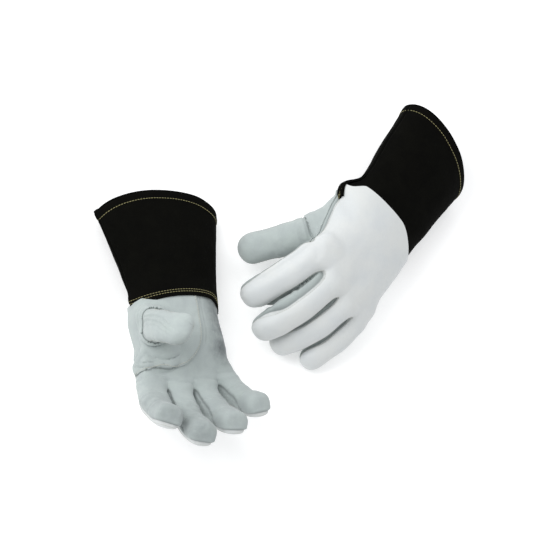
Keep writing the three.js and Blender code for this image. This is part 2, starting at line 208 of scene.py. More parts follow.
def joint(name):
    return next(j for j in frame["joints"] if j["name"] == name)


def node_points(names):
    parts = []
    for name in names:
        mesh = frame["nodes"][name].data
        co = np.empty(len(mesh.vertices) * 3, np.float32)
        mesh.vertices.foreach_get("co", co)
        parts.append(co.reshape(-1, 3).astype(float))
    return np.concatenate(parts)


class Digit:
    """A finger or thumb as an arc from its joint to its CAD tip, in the hand's axes."""

    def __init__(self, side, name, hand, mirrored):
        self.name = name
        self.side = side
        size = DIGITS.get(name) or DIGITS[f"{side}_{name}"]
        self.length, self.root = size["length"], size["root"]
        self.tip, self.height = size["tip"] + TIP_WIDER[side], size["height"]
        hinge = joint(f"{side}_{name}_bend")
        self.pivot = hand.inside(np.array(hinge["pos_m"]))
        axis = hand.axes @ np.array(hinge["axis"])
        members = frame["record"]["behaviour"]["bodies"][f"{side}_{name}"]
        points = hand.inside(node_points(members))
        reach = np.linalg.norm(points - self.pivot, axis=1)
        chord = points[reach > reach.max() - 0.8].mean(0) - self.pivot
        ratio = min(np.linalg.norm(chord) / self.length, 0.9999)
        low, high = 1e-3, 3.0
        for _ in range(50):
            half = (low + high) / 2
            low, high = (half, high) if math.sin(half) / half > ratio else (low, half)
        self.bend = 2 * low
        # In the hand's axes a mirrored glove's turns run the other way.
        self.axis = unit(axis - chord * (axis @ chord) / (chord @ chord))
        turn = 1 if not mirrored else -1
        c, s = math.cos(self.bend / 2), math.sin(self.bend / 2)
        ahead = unit(chord)
        sideways = np.cross(self.axis, ahead) * turn
        self.start = ahead * c - sideways * s
        self.curl = np.cross(self.axis, self.start) * turn
        self.radius = self.length / self.bend
        self.thumbward = -self.axis if not mirrored else self.axis
        if self.thumbward @ np.array([1, 0, 0]) < 0 and name != "thumb":
            raise RuntimeError(f"{side} {name} faces the wrong way")

    def at(self, s):
        turn = s / self.length * self.bend
        return self.pivot + self.radius * (math.sin(turn) * self.start + (1 - math.cos(turn)) * self.curl)

    def locate(self, points):
        """Distance along the digit, offset to its thumb side and offset to its back."""
        p = points - self.pivot
        a, b, u = p @ self.start, p @ self.curl, p @ self.thumbward
        angle = np.arctan2(a, self.radius - b)
        s = angle * self.radius
        v = np.hypot(a, self.radius - b) - self.radius
        before = a < 0
        s = np.where(before, a, s)
        v = np.where(before, -b, v)
        past = (angle > self.bend) & ~before
        c, d = math.cos(self.bend), math.sin(self.bend)
        end = self.at(self.length)
        q = points - end
        s = np.where(past, self.length + q @ (c * self.start + d * self.curl), s)
        v = np.where(past, -(q @ (-d * self.start + c * self.curl)), v)
        return s, u, v

    def half_sizes(self, s):
        t = np.clip(s / self.length, 0, 1)
        knuckles = 0.35 * np.cos(t * 2 * np.pi * 2.5) * (1 - smooth(0.8, 1, t))
        width = self.root + (self.tip - self.root) * t + knuckles
        if self.name == "thumb":
            width = width + 0.22 * np.clip(-s, 0, 30)
        height = self.height * width / self.root
        if self.name != "thumb":
            height = height * (1 - 0.42 * smooth(8, -12, s))
            width = width * (1 - 0.18 * smooth(4, -12, s))
        return width, height

    def field(self, points):
        """Signed distance, and s, u, v."""
        s, u, v = self.locate(points)
        width, height = self.half_sizes(s)
        power = DIGIT_SQUARENESS
        round_tip = 2.3 if self.name == "thumb" else TIP_SQUARENESS[self.side]
        cap = self.tip * (1 if self.name == "thumb" else TIP_CAP[self.side])
        root_cap = 12.0
        behind = -s - root_cap - (20 if self.name == "thumb" else 0)
        w = np.clip(s - (self.length - cap), 0, None) / cap + np.clip(behind, 0, None) / root_cap
        toward = {"index": -1, "middle": 1}.get(self.name, 0)
        along = smooth(-6, 8, s) * (1 - smooth(0.55 * self.length, 0.95 * self.length, s))
        low = smooth(0.42, 0.1, v / height)
        share = 1.45 if self.name == "index" else 1.0
        swell = share * SWELL[self.side] * along * low * smooth(0, 0.5, toward * u / width)
        if self.name == "index":
            swell += 0.7 * SWELL[self.side] * along * low * smooth(0, 0.5, u / width)
        width = width + swell
        ru, rv = np.abs(u / width), np.abs(v / height)
        h = (ru**power + rv**power + 1e-9) ** (1 / power)
        g = (h**round_tip + w**round_tip + 1e-9) ** (1 / round_tip)
        du = (ru / h) ** (power - 1) / width * (h / g) ** (round_tip - 1)
        dv = (rv / h) ** (power - 1) / height * (h / g) ** (round_tip - 1)
        dw = (w / g) ** (round_tip - 1) / cap
        slope = np.sqrt(du * du + dv * dv + dw * dw) + 1e-6
        return (g - 1) / slope, s, u, v


class Glove:
    def __init__(self, side):
        self.side = side
        self.mirrored = side == "right"
        wrist = joint(f"{side}_wrist_bend")["pos_m"]
        self.hand = Axes(wrist, axes_of(*LIE[side]["hand"], self.mirrored))
        self.cuff = Axes(wrist, axes_of(*LIE[side]["cuff"], self.mirrored))
        self.digits = {n: Digit(side, n, self.hand, self.mirrored) for n in (*FINGERS, "thumb")}
        roots = np.array([self.digits[n].pivot for n in reversed(FINGERS)])
        self.roots = roots
        shoulders = [roots[0] + (-15, -13, -1), roots[-1] + (15, -13, -1)]
        self.edge = np.array([shoulders[0], *(roots + (0, WEB, 0)), shoulders[1]])

    def arch(self, x):
        return np.interp(x, self.roots[:, 0], self.roots[:, 2])

    def front(self, x):
        return np.interp(x, self.roots[:, 0], self.roots[:, 1])

    def hand_field(self, points):
        x, y, z = points.T
        stations = HAND_SECTIONS[:, 0]
        width, height, power, shift = (np.interp(y, stations, HAND_SECTIONS[:, k]) for k in range(1, 5))
        share = np.clip(y / self.front(x), 0, 1)
        z = z - self.arch(x) * share**2
        rx, rz = np.abs((x - shift) / width), np.abs(z / height)
        g = (rx**power + rz**power + 1e-9) ** (1 / power)
        dx = (rx / g) ** (power - 1) / width
        dz = (rz / g) ** (power - 1) / height
        side = (g - 1) / (np.sqrt(dx * dx + dz * dz) + 1e-6)
        edge = np.interp(x, self.edge[:, 0], self.edge[:, 1])
        return smooth_max(side, y - edge + 1.0, 9.0)

    def body_field(self, points):
        """Signed distance of the whole hand, and what is needed to tell its parts apart."""
        hand = self.hand_field(points)
        parts = {n: d.field(points) for n, d in self.digits.items()}
        fingers = None
        for i, name in enumerate(FINGERS):
            near = [FINGERS[k] for k in (i - 1, i + 1) if 0 <= k < len(FINGERS)]
            own, s = parts[name][0], parts[name][1]
            for other in near:
                slit = (own - parts[other][0] + FINGER_GAP * smooth(-2, 10, s)) / 2
                if {name, other} == {"index", "middle"} and SWELL[self.side] > 2:
                    toward = 1 if name == "index" else -1
                    wave = (1.6 * value_noise(points, 9, 51) - 3.0) * toward
                    slit = (own - parts[other][0] + 1.0 * smooth(-2, 6, s) + wave) / 2
                own = smooth_max(own, slit, 1.5)
            fingers = own if fingers is None else np.minimum(fingers, own)
        thumb = parts["thumb"][0]
        slit = (thumb - np.minimum(fingers, thumb + 99) + FINGER_GAP) / 2
        thumb = np.where(parts["thumb"][1] > 15, smooth_max(thumb, slit, 1.5), thumb)
        body = np.minimum(smooth_min(hand, fingers, 11.0), smooth_min(hand, thumb, 11.0))
        return body, hand, parts


# ---------------------------------------------------------------- triangle sheets


class Sheet:
    """Triangles with named values at their points."""

    def __init__(self, points, tris, values):
        self.points = points
        self.tris = tris
        self.values = values

    def normals(self):
        a, b, c = (self.points[self.tris[:, k]] for k in range(3))
        face = np.cross(b - a, c - a)
        total = np.zeros_like(self.points)
        for k in range(3):
            for axis in range(3):
                total[:, axis] += np.bincount(self.tris[:, k], face[:, axis], len(self.points))
        return total / (np.linalg.norm(total, axis=1, keepdims=True) + 1e-12)

    def compact(self):
        used, back = np.unique(self.tris, return_inverse=True)
        values = {k: v[used] for k, v in self.values.items()}
        return Sheet(self.points[used], back.reshape(-1, 3), values)

    def clip(self, field, sign=1.0, level=0.0):
        """The part where sign * (field - level) is above 0, cut cleanly through the triangles."""
        f = (self.values[field] - level) * sign
        f = np.where(np.abs(f) < 1e-6, 1e-6, f)
        inside = f > 0
        count = inside[self.tris].sum(1)
        whole = self.tris[count == 3]
        made = []
        keys, ends = [], []
        for lone_inside in (True, False):
            tri = self.tris[count == (1 if lone_inside else 2)]
            if not len(tri):
                continue
            lone = np.argmax(inside[tri] == lone_inside, axis=1)
            rows = np.arange(len(tri))
            a, b, c = (tri[rows, (lone + k) % 3] for k in range(3))
            made.append((lone_inside, a, b, c))
            for p, q in ((a, b), (a, c)):
                low, high = np.minimum(p, q), np.maximum(p, q)
                keys.append(low * len(f) + high)
                ends.append(np.stack([low, high], 1))
        if not made:
            return Sheet(self.points, whole, self.values).compact()
        keys, ends = np.concatenate(keys), np.concatenate(ends)
        _, first, back = np.unique(keys, return_index=True, return_inverse=True)
        low, high = ends[first].T
        t = f[low] / (f[low] - f[high])
        cut = self.points[low] + t[:, None] * (self.points[high] - self.points[low])
        points = np.concatenate([self.points, cut])
        values = {k: np.concatenate([v, v[low] + t * (v[high] - v[low])]) for k, v in self.values.items()}
        new = back + len(f)
        tris = [whole]
        at = 0
        for lone_inside, a, b, c in made:
            n = len(a)
            ab, ac = new[at : at + n], new[at + n : at + 2 * n]
            at += 2 * n
            if lone_inside:
                tris.append(np.stack([a, ab, ac], 1))
            else:
                tris.append(np.stack([ab, b, c], 1))
                tris.append(np.stack([ab, c, ac], 1))
        return Sheet(points, np.concatenate(tris), values).compact()

    def raised(self, height):
        return Sheet(self.points + self.normals() * height, self.tris, self.values)

    def border(self):
        """Directed edges that only one triangle has."""
        edges = np.concatenate([self.tris[:, [0, 1]], self.tris[:, [1, 2]], self.tris[:, [2, 0]]])
        n = len(self.points)
        key = edges[:, 0] * n + edges[:, 1]
        twin = edges[:, 1] * n + edges[:, 0]
        return edges[~np.isin(key, twin)]

    def line(self, field, level):
        """Polylines where the field has this level, as arrays of points and normals."""
        f = self.values[field] - level
        f = np.where(np.abs(f) < 1e-6, 1e-6, f)
        inside = f > 0
        count = inside[self.tris].sum(1)
        tri = self.tris[(count == 1) | (count == 2)]
        if not len(tri):
            return []
        flag = inside[tri]
        lone_value = flag.sum(1) == 1
        lone = np.argmax(flag == lone_value[:, None], axis=1)
        rows = np.arange(len(tri))
        a, b, c = (tri[rows, (lone + k) % 3] for k in range(3))
        normals = self.normals()
        n = len(f)

        def crossing(p, q):
            low, high = np.minimum(p, q), np.maximum(p, q)
            t = (f[low] / (f[low] - f[high]))[:, None]
            crossed, normal = (v[low] * (1 - t) + v[high] * t for v in (self.points, normals))
            return low * n + high, crossed, normal

        k1, p1, n1 = crossing(a, b)
        k2, p2, n2 = crossing(a, c)
        place = {}
        for keys, pts, nor in ((k1, p1, n1), (k2, p2, n2)):
            for key, p, q in zip(keys.tolist(), pts, nor):
                place[key] = (p, q)
        links = {}
        for x, y in zip(k1.tolist(), k2.tolist()):
            links.setdefault(x, []).append(y)
            links.setdefault(y, []).append(x)
        seen = set()
        lines = []
        starts = sorted(k for k, v in links.items() if len(v) == 1) + sorted(links)
        for start in starts:
            if start in seen:
                continue
            chain = [start]
            seen.add(start)
            while True:
                ahead = [k for k in links[chain[-1]] if k not in seen]
                if not ahead:
                    break
                chain.append(ahead[0])
                seen.add(ahead[0])
            if len(chain) > 6:
                lines.append((np.array([place[k][0] for k in chain]), np.array([place[k][1] for k in chain])))
        return lines


# ---------------------------------------------------------------- objects


def make_mesh(name, points, faces, sizes=None, values=None, material=None):
    """An object from points in metres and triangles or quads, smooth shaded."""
    mesh = bpy.data.meshes.new(name)
    faces = np.asarray(faces)
    corners = faces.shape[1]
    mesh.vertices.add(len(points))
    mesh.vertices.foreach_set("co", np.asarray(points, np.float32).ravel())
    mesh.loops.add(faces.size)
    mesh.loops.foreach_set("vertex_index", faces.ravel().astype(np.int32))
    mesh.polygons.add(len(faces))
    mesh.polygons.foreach_set("loop_start", np.arange(0, faces.size, corners, dtype=np.int32))
    mesh.update(calc_edges=True)
    mesh.validate()
    for key, value in (values or {}).items():
        attribute = mesh.attributes.new(key, "FLOAT", "POINT")
        attribute.data.foreach_set("value", np.asarray(value, np.float32))
    mesh.shade_smooth()
    piece = bpy.data.objects.new(name, mesh)
    bpy.context.scene.collection.objects.link(piece)
    if material:
        mesh.materials.append(material)
    return piece


def outward(points, tris):
    """Triangles turned so that a closed mesh's faces point out."""
    a, b, c = (points[tris[:, k]] for k in range(3))
    if np.einsum("ij,ij->i", a, np.cross(b, c)).sum() < 0:
        return tris[:, ::-1]
    return tris


def thick_panel(name, sheet, glove_axes, wall, material, shades=()):
    """A leather panel: the sheet as its outer face, an inner face below it and a rim."""
    normals = sheet.normals()
    inner = sheet.points - normals * wall
    n = len(sheet.points)
    border = sheet.border()
    rim = np.concatenate([
        np.stack([border[:, 0], border[:, 0] + n, border[:, 1] + n], 1),
        np.stack([border[:, 0], border[:, 1] + n, border[:, 1]], 1),
    ])
    tris = np.concatenate([sheet.tris, sheet.tris[:, ::-1] + n, rim])
    points = glove_axes.outside(np.concatenate([sheet.points, inner]))
    tris = outward(points - points.mean(0), tris)
    values = {k: np.tile(sheet.values[k], 2) for k in shades}
    values["inside"] = np.repeat([0.0, 1.0], n)
    piece = make_mesh(name, points, tris, values=values, material=material)
    mark_sharp_rim(piece, border, n)
    return piece


def mark_sharp_rim(piece, border, n):
    """Keeps the edge between a panel's faces and its rim crisp."""
    mesh = piece.data
    edges = np.empty(len(mesh.edges) * 2, np.int32)
    mesh.edges.foreach_get("vertices", edges)
    edges = np.sort(edges.reshape(-1, 2), axis=1)
    size = len(mesh.vertices)
    keys = edges[:, 0].astype(np.int64) * size + edges[:, 1]
    b = np.sort(border, axis=1)
    rim = np.concatenate([b[:, 0] * size + b[:, 1], (b[:, 0] + n) * size + b[:, 1] + n])
    sharp = mesh.attributes.new("sharp_edge", "BOOLEAN", "EDGE")
    sharp.data.foreach_set("value", np.isin(keys, rim))


def resampled(points, normals, pitch):
    """Evenly spaced points, directions and normals along a polyline."""
    step = np.linalg.norm(np.diff(points, axis=0), axis=1)
    along = np.concatenate([[0], np.cumsum(step)])
    count = int(along[-1] / pitch)
    if count < 2:
        return None
    s = (np.arange(count) + 0.5) * along[-1] / count
    p = np.stack([np.interp(s, along, points[:, k]) for k in range(3)], 1)
    n = unit(np.stack([np.interp(s, along, normals[:, k]) for k in range(3)], 1))
    for _ in range(2):
        p[1:-1] = (p[:-2] + 2 * p[1:-1] + p[2:]) / 4
    d = unit(np.gradient(p, axis=0))
    return p, d, n


def stitch_shape():
    """One stitch as a plump short thread along +X, its middle raised."""
    rings = []
    for x, r in ((-0.5, 0.35), (-0.4, 0.8), (-0.15, 1.0), (0.15, 1.0), (0.4, 0.8), (0.5, 0.35)):
        for k in range(6):
            angle = k * math.pi / 3
            rings.append((x, r * math.cos(angle), r * math.sin(angle) + 0.3 * (1 - (2 * x) ** 2)))
    quads = []
    for i in range(5):
        for k in range(6):
            a, b = i * 6 + k, i * 6 + (k + 1) % 6
            quads.append((a, b, b + 6, a + 6))
    points = np.array(rings + [(-0.52, 0, 0), (0.52, 0, 0)])
    tris = [(q[0], q[1], q[2]) for q in quads] + [(q[0], q[2], q[3]) for q in quads]
    tris += [(36, (k + 1) % 6, k) for k in range(6)] + [(37, 30 + k, 30 + (k + 1) % 6) for k in range(6)]
    return points, np.array(tris)


STITCH_POINTS, STITCH_TRIS = stitch_shape()


def stitches(name, lines, axes, material, pitch=3.0, length=2.3, radius=0.36, lift=0.1):
    """Thread laid along polylines, as one object of separate stitches."""
    points, tris = [], []
    for line_points, line_normals in lines:
        laid = resampled(line_points, line_normals, pitch)
        if laid is None:
            continue
        for p, d, n in zip(*laid):
            side = np.cross(n, d)
            side /= np.linalg.norm(side) + 1e-9
            up = np.cross(d, side)
            basis = np.stack([d * length, side * radius, up * radius])
            points.append(p + n * lift + STITCH_POINTS @ basis)
            tris.append(STITCH_TRIS + len(STITCH_POINTS) * (len(points) - 1))
    if not points:
        return None
    points, tris = settled(axes, np.concatenate(points)), np.concatenate(tris)
    world = axes.outside(points)
    if np.linalg.det(axes.axes) < 0:
        tris = tris[:, ::-1]
    return make_mesh(name, world, tris, material=material)


# ---------------------------------------------------------------- materials


class Nodes:
    """Short calls for building a node material."""

    def __init__(self, name):
        self.material = bpy.data.materials.new(name)
        self.material.use_nodes = True
        self.tree = self.material.node_tree
        self.shader = self.tree.nodes["Principled BSDF"]
        self.coords = self.add("ShaderNodeTexCoord").outputs["Object"]

    def add(self, kind, **settings):
        node = self.tree.nodes.new(kind)
        for key, value in settings.items():
            setattr(node, key, value)
        return node

    def put(self, socket, value):
        if isinstance(value, bpy.types.NodeSocket):
            self.tree.links.new(value, socket)
        else:
            socket.default_value = value

    def noise(self, size, detail=4.0, rough=0.55, warp=0.0):
        """Noise from 0 to 1 with lumps `size` millimetres across."""
        node = self.add("ShaderNodeTexNoise")
        self.put(node.inputs["Vector"], self.coords)
        self.put(node.inputs["Scale"], 1 / (size * MM))
        self.put(node.inputs["Detail"], detail)
        self.put(node.inputs["Roughness"], rough)
        self.put(node.inputs["Distortion"], warp)
        return node.outputs["Fac"]

    def cells(self, size, feature="F1"):
        node = self.add("ShaderNodeTexVoronoi", feature=feature)
        self.put(node.inputs["Vector"], self.coords)
        self.put(node.inputs["Scale"], 1 / (size * MM))
        return node.outputs["Distance"]

    def math(self, operation, a, b=0.0, clamp=False):
        node = self.add("ShaderNodeMath", operation=operation, use_clamp=clamp)
        self.put(node.inputs[0], a)
        self.put(node.inputs[1], b)
        return node.outputs[0]

    def ramp(self, value, low, high):
        node = self.add("ShaderNodeMapRange")
        self.put(node.inputs["Value"], value)
        self.put(node.inputs["From Min"], low)
        self.put(node.inputs["From Max"], high)
        return node.outputs["Result"]

    def mix(self, factor, a, b):
        node = self.add("ShaderNodeMix", data_type="RGBA")
        self.put(node.inputs["Factor"], factor)
        self.put(node.inputs["A"], a)
        self.put(node.inputs["B"], b)
        return node.outputs["Result"]

    def attribute(self, name):
        return self.add("ShaderNodeAttribute", attribute_name=name).outputs["Fac"]

    def bump(self, layers):
        """Stacked bumps: (height, distance in millimetres, strength)."""
        normal = None
        for height, distance, strength in layers:
            node = self.add("ShaderNodeBump")
            self.put(node.inputs["Height"], height)
            self.put(node.inputs["Distance"], distance * MM)
            self.put(node.inputs["Strength"], strength)
            if normal:
                self.put(node.inputs["Normal"], normal)
            normal = node.outputs["Normal"]
        self.put(self.shader.inputs["Normal"], normal)

    def finish(self, color, roughness, sheen=0.0, specular=0.5):
        self.put(self.shader.inputs["Base Color"], color)
        self.put(self.shader.inputs["Roughness"], roughness)
        self.put(self.shader.inputs["Sheen Weight"], sheen)
        self.put(self.shader.inputs["Sheen Roughness"], 0.6)
        self.put(self.shader.inputs["Specular IOR Level"], specular)
        return self.material


def grain_leather():
    """Smooth white goatskin: fine pebbled grain, faint blotches, and seams darkened by dirt and painted shade."""
    n = Nodes("grain_leather")
    blotch = n.ramp(n.noise(26, 3), 0.35, 0.7)
    color = n.mix(blotch, (0.63, 0.645, 0.635, 1), (0.59, 0.615, 0.622, 1))
    specks = n.ramp(n.noise(1.1, 5, 0.7), 0.3, 0.75)
    color = n.mix(n.math("MULTIPLY", specks, 0.12), color, (0.60, 0.615, 0.61, 1))
    # Seams darkened towards grey: dirt, broken up by noise, together with painted shade in the grooves.
    dirt_and_shade = n.math("MULTIPLY", n.attribute("seam"), n.ramp(n.noise(5, 3), 0.15, 0.8))
    color = n.mix(n.math("MULTIPLY", dirt_and_shade, 0.75), color, (0.33, 0.345, 0.335, 1))
    color = n.mix(n.attribute("inside"), color, (0.5, 0.5, 0.47, 1))
    pebble = n.cells(0.95)
    creases = n.ramp(n.noise(6, 6, 0.6, 0.8), 0.44, 0.56)
    n.bump([(creases, 0.10, 0.5), (pebble, 0.10, 0.55), (n.noise(0.35, 2), 0.04, 0.4)])
    rough = n.math("ADD", n.math("MULTIPLY", n.noise(3, 4), 0.22), 0.42)
    return n.finish(color, rough, 0.05, 0.42)


def split_leather(name, base, shade, dusty, fuzz, finish=(0.2, 0.2)):
    """Suede: a fine nap with brushed patches and soft creases, seams darkened by dirt and painted shade, and
    painted shade on the hand's outer side and fingers.
    """
    n = Nodes(name)
    patches = n.ramp(n.noise(17, 4, 0.6, 0.5), 0.32, 0.7)
    color = n.mix(patches, base, shade)
    nap = n.ramp(n.noise(0.7, 6, 0.75), 0.3, 0.72)
    color = n.mix(n.math("MULTIPLY", nap, 0.3), color, dusty)
    # Painted shade: the split leather darkened on the hand's outer side and on the fingers, broken up by noise.
    painted_shade = n.math("MULTIPLY", n.attribute("painted_shade"), n.ramp(n.noise(11, 4, 0.6, 0.4), 0.0, 0.75))
    color = n.mix(painted_shade, color, tuple(c * t for c, t in zip(shade, (0.40, 0.405, 0.415))) + (1,))
    scuffs = n.ramp(n.noise(4.5, 8, 0.7, 1.2), 0.56, 0.72)
    color = n.mix(n.math("MULTIPLY", scuffs, 0.3), color, dusty)
    # Seams darkened: dirt together with painted shade in the grooves.
    dirt_and_shade = n.math("MULTIPLY", n.attribute("seam"), 0.6)
    color = n.mix(dirt_and_shade, color, tuple(c * 0.42 for c in shade[:3]) + (1,))
    fibre = n.cells(0.5, "SMOOTH_F1")
    n.bump([(n.noise(7, 6, 0.65, 0.6), 0.5, 0.35), (n.noise(1.4, 5, 0.7), 0.18, 0.6), (fibre, 0.12, fuzz)])
    rough = n.math("ADD", n.math("MULTIPLY", n.noise(2, 4), 0.15), 0.8)
    return n.finish(color, rough, *finish)


def thread_material(name, color):
    """Twisted sewing thread."""
    n = Nodes(name)
    wave = n.add("ShaderNodeTexWave", wave_type="BANDS", bands_direction="DIAGONAL")
    n.put(wave.inputs["Vector"], n.coords)
    n.put(wave.inputs["Scale"], 500.0)
    n.put(wave.inputs["Distortion"], 1.5)
    darker = tuple(c * 0.55 for c in color[:3]) + (1,)
    tint = n.mix(n.math("MULTIPLY", wave.outputs["Fac"], 0.6), color, darker)
    n.bump([(wave.outputs["Fac"], 0.15, 0.6)])
    return n.finish(tint, 0.6, 0.2, 0.3)


MATERIALS = {
    "grain": grain_leather(),
    "split": split_leather(
        "split_leather", (0.395, 0.445, 0.43, 1), (0.345, 0.385, 0.385, 1), (0.5, 0.54, 0.53, 1), 0.5
    ),
    "black": split_leather(
        "cuff_leather",
        (0.003, 0.003, 0.0022, 1),
        (0.0017, 0.0017, 0.0014, 1),
        (0.0065, 0.0065, 0.0055, 1),
        0.45,
        (0.0, 0.03),
    ),
    "yellow": thread_material("yellow_thread", (0.30, 0.27, 0.11, 1)),
    "cream": thread_material("cream_thread", (0.55, 0.56, 0.5, 1)),
}


# ---------------------------------------------------------------- the hand


def groove(distance, depth, width, lip=0.0, lip_at=3.0):
    """Height of leather next to a seam: a furrow at it, and a lip where the turned edges lie under."""
    furrow = -depth * np.exp(-((distance / width) ** 2))
    return furrow + lip * np.exp(-(((np.abs(distance) - lip_at) / 1.3) ** 2))


def seam_heights(glove, name, s, u, v):
    """Height of a finger's point over the seam of its back panel, and over that of its palm panel."""
    digit = glove.digits[name]
    width, height = digit.half_sizes(s)
    sides = GUSSETS[name]
    thumb_sin = GUSSET_SIN if 1 in sides else THUMB_SIDE_SEAM[glove.side]
    little_sin = GUSSET_SIN if -1 in sides else OUTER_SEAM
    closing = smooth(0.5 * digit.length, 0.95 * digit.length, s)
    across = smooth(-0.7, 0.7, u / width)
    tip_sin = TIP_SEAM[glove.side]
    thumb_high = thumb_sin + (tip_sin - thumb_sin) * closing
    little_high = little_sin + (tip_sin - little_sin) * closing
    thumb_low = -thumb_sin + (tip_sin + thumb_sin) * closing if 1 in sides else thumb_high
    little_low = -little_sin + (tip_sin + little_sin) * closing if -1 in sides else little_high
    high = little_high + (thumb_high - little_high) * across
    low = little_low + (thumb_low - little_low) * across
    return v - high * height, v - low * height - 0.05


def hand_seam_heights(glove, points):
    x, y, z = points.T
    share = np.clip(y / glove.front(x), 0, 1)
    z = z - glove.arch(x) * share**2
    height = np.interp(y, HAND_SECTIONS[:, 0], HAND_SECTIONS[:, 2])
    across = smooth(-0.8, 0.8, x / 50)
    edge = height * (OUTER_SEAM + (THUMB_SIDE_SEAM[glove.side] - OUTER_SEAM) * across)
    left, right = glove.roots[0, 0], glove.roots[-1, 0]
    between = smooth(left - 6, left + 8, x) * (1 - smooth(right - 8, right + 6, x))
    web = smooth(-16, -3, y - glove.front(x)) * between
    high = edge + (GUSSET_SIN * 12.5 - edge) * web
    low = edge + (-GUSSET_SIN * 12.5 - edge) * web
    return z - high, z - low - 0.05


def patch_field(points):
    """Inside distance of the palm's reinforcement: a rounded square from the wrist under the thumb."""
    x, y = points[:, 0], points[:, 1]
    corner = 24.0
    low_x, high_y = -13.5, 70.0
    dx, dy = x - low_x, high_y + 0.12 * (x - 10) + 2.2 * np.sin((x - 4) / 9) - y
    cx, cy = np.clip(corner - dx, 0, None), np.clip(corner - dy, 0, None)
    rounded = corner - np.hypot(cx, cy)
    return np.where(cx * cy > 0, rounded, np.minimum(dx, dy))


def hand_sheet(glove):
    """The whole hand as one sheet, with the values that its seams are cut by."""
    side = glove.side
    bodies = frame["record"]["behaviour"]["bodies"]
    names = [n for b in bodies if b.startswith(side) and not b.endswith("cuff") for n in bodies[b]]
    cad = glove.hand.inside(node_points(names))
    low, high = cad.min(0) - 7, cad.max(0) + 7
    low[1] = -30.0
    counts = np.ceil((high - low) / VOXEL).astype(int) + 1
    axes = [low[k] + VOXEL * np.arange(counts[k]) for k in range(3)]
    grid_points = np.stack(np.meshgrid(*axes, indexing="ij"), -1).reshape(-1, 3)
    body = np.concatenate([glove.body_field(part)[0] for part in np.array_split(grid_points, 8)])
    grid = openvdb.FloatGrid(5.0)
    grid.copyFromArray(np.clip(body, -5, 5).reshape(counts).astype(np.float32))
    points, tris, quads = grid.convertToPolygons(0.0, 0.0)
    quads = quads.astype(int)
    tris = np.concatenate([tris.reshape(-1, 3).astype(int), quads[:, [0, 1, 2]], quads[:, [0, 2, 3]]])
    points = low + points.astype(float) * VOXEL
    tris = outward(points - points.mean(0), tris)
    sheet = Sheet(points, tris, {})
    relax(sheet, 2)

    body, hand, parts = glove.body_field(sheet.points)
    values = sheet.values
    heights = [hand_seam_heights(glove, sheet.points)]
    distances = [hand]
    for name in FINGERS:
        d, s, u, v = parts[name]
        heights.append(seam_heights(glove, name, s, u, v))
        distances.append(d + np.clip(-s, 0, 30) * 0.5)
    heights.append((np.full(len(hand), -9.0), np.full(len(hand), -9.0)))
    distances.append(parts["thumb"][0] + np.clip(-parts["thumb"][1], 0, 30) * 0.4)
    distances = np.array(distances)
    weights = np.exp(-(distances - distances.min(0)) / 1.8)
    weights /= weights.sum(0)
    values["back"] = sum(w * h[0] for w, h in zip(weights, heights))
    values["low"] = sum(w * h[1] for w, h in zip(weights, heights))
    for name in (*FINGERS, "thumb"):
        d, s, u, v = parts[name]
        others = [parts[n][0] for n in parts if n != name]
        cut = THUMB_CUT if name == "thumb" else FINGER_CUT
        values[f"own_{name}"] = np.minimum(s - cut, np.min(others, axis=0) - d)
        values[f"u_{name}"] = u
        values[f"v_{name}"] = v
        values[f"s_{name}"] = s
    values["patch"] = patch_field(sheet.points)
    x, y, z = sheet.points.T
    rise = np.abs(z) / np.hypot(x / 2, z)
    if side == "left":
        values["wrist_back"] = y + BACK_REACH[side] * smooth(-52, -2, x) * (1 - 0.55 * smooth(45, 51, x))
    else:
        values["wrist_back"] = y + (BACK_REACH[side] + 0.05 * np.clip(-x, -20, 50)) * rise**1.5
    values["wrist_palm"] = y + 6.0 * rise
    dress(glove, sheet)
    sheet.points = settled(glove.hand, sheet.points)
    return sheet


def relax(sheet, rounds):
    """Evens the sheet's points out without shrinking it."""
    edges = np.concatenate([sheet.tris[:, [0, 1]], sheet.tris[:, [1, 2]], sheet.tris[:, [2, 0]]])
    n = len(sheet.points)
    count = np.bincount(edges[:, 0], minlength=n)[:, None] + 1e-9
    for _ in range(rounds):
        for amount in (0.5, -0.52):
            ends = sheet.points[edges[:, 1]]
            mean = np.stack([np.bincount(edges[:, 0], ends[:, k], n) for k in range(3)], 1) / count
            edge_count = np.where(count > 0.5, 1.0, 0.0)
            sheet.points = sheet.points + (mean - sheet.points) * amount * edge_count


def palmward_of(back):
    """1 on the grey leather and 0 on the back, from the height over the back panel's seam."""
    return smooth(2.0, -6.0, back)


